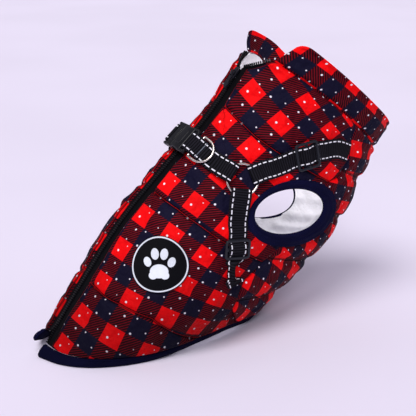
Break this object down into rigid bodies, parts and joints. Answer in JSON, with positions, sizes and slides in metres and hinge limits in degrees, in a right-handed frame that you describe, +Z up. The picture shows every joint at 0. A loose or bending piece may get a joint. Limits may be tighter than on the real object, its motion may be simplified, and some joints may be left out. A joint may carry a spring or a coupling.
{
  "type": "dog coat",
  "caption": "Padded dog winter coat with stand collar, back zip, ribbed hem and armholes, and a sewn-on webbing harness with ring and side-release buckle, standing empty on its hem.",
  "frame": {"origin": "middle of the bottom of the box around the coat, on the floor it stands on", "axes": "+X from the tail end of the back zip toward the chest, -Y the side with the badge and the D-ring, +Z up"},
  "size_m": [0.3932, 0.1556, 0.2917],
  "materials": {
    "check_cloth": "woven red and navy check, matte",
    "rib_navy": "ribbed knit, matte",
    "lining_white": "smooth woven, matte",
    "webbing_black": "woven webbing with pale reflective stitching",
    "zip_black": "woven zip tape and moulded teeth",
    "zip_pull_black": "semi-gloss",
    "buckle_black": "satin moulded plastic",
    "nickel": "nickel plated",
    "badge_black": "rubber-printed cloth"
  },
  "bodies": {
    "coat": {"armhole_edging_far": "rib_navy", "armhole_edging_near": "rib_navy", "back_lining_far": "lining_white", "back_lining_near": "lining_white", "back_panel_far": "check_cloth", "back_panel_near": "check_cloth", "back_strap_far": "webbing_black", "back_strap_near": "webbing_black", "badge_near": "badge_black", "belly_lining": "lining_white", "belly_panel": "check_cloth", "belly_slide_far": "buckle_black", "belly_slide_near": "buckle_black", "belly_strap_far": "webbing_black", "belly_strap_near": "webbing_black", "buckle_housing": "buckle_black", "buckle_tongue": "buckle_black", "chest_slide_far": "buckle_black", "chest_slide_near": "buckle_black", "chest_strap_far": "webbing_black", "chest_strap_near": "webbing_black", "collar": "check_cloth", "hem_edging": "rib_navy", "junction_ring_far": "nickel", "junction_ring_near": "nickel", "zip_chain": "zip_black", "zip_slider": "zip_pull_black", "zip_tape_far": "zip_black", "zip_tape_near": "zip_black"},
    "leash_ring": {"d_ring": "nickel"},
    "pull_tab": {"zip_pull": "zip_pull_black"}
  },
  "joints": [
    {"name": "d_ring_swing", "type": "hinge", "parent": "coat", "child": "leash_ring", "pos_m": [-0.03928, -0.02458, 0.19648], "axis": [-0.7446, 0.0235, -0.6671], "range_deg": [0, 125]},
    {"name": "zip_pull_swing", "type": "hinge", "parent": "coat", "child": "pull_tab", "pos_m": [0.01261, 0, 0.26022], "axis": [0, 1, 0], "range_deg": [0, 160]}
  ]
}
